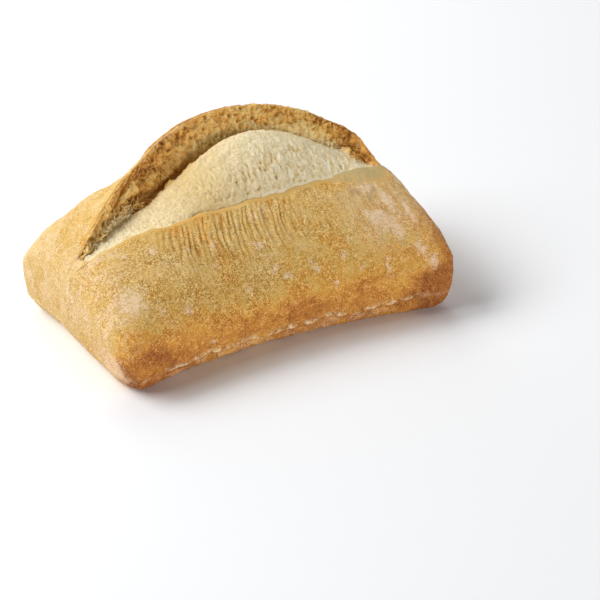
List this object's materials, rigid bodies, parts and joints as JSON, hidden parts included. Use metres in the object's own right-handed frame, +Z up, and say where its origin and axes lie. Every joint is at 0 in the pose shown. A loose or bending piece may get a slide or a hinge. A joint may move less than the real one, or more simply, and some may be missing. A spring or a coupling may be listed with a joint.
{
  "type": "bread roll",
  "caption": "Oblong white bread roll with pinched corners, slashed lengthways, with a torn crumb dome and a raised ear of crust.",
  "frame": {"origin": "centre of the flat base, under the middle of the roll's bounding box", "axes": "+X along the roll and its slash, +Y towards the side with the raised ear, +Z up"},
  "size_m": [0.1484, 0.0956, 0.0697],
  "materials": {
    "crust": "dry golden crust, floured, matt"
  },
  "bodies": {
    "root": {"bread_roll": "crust"}
  },
  "joints": []
}
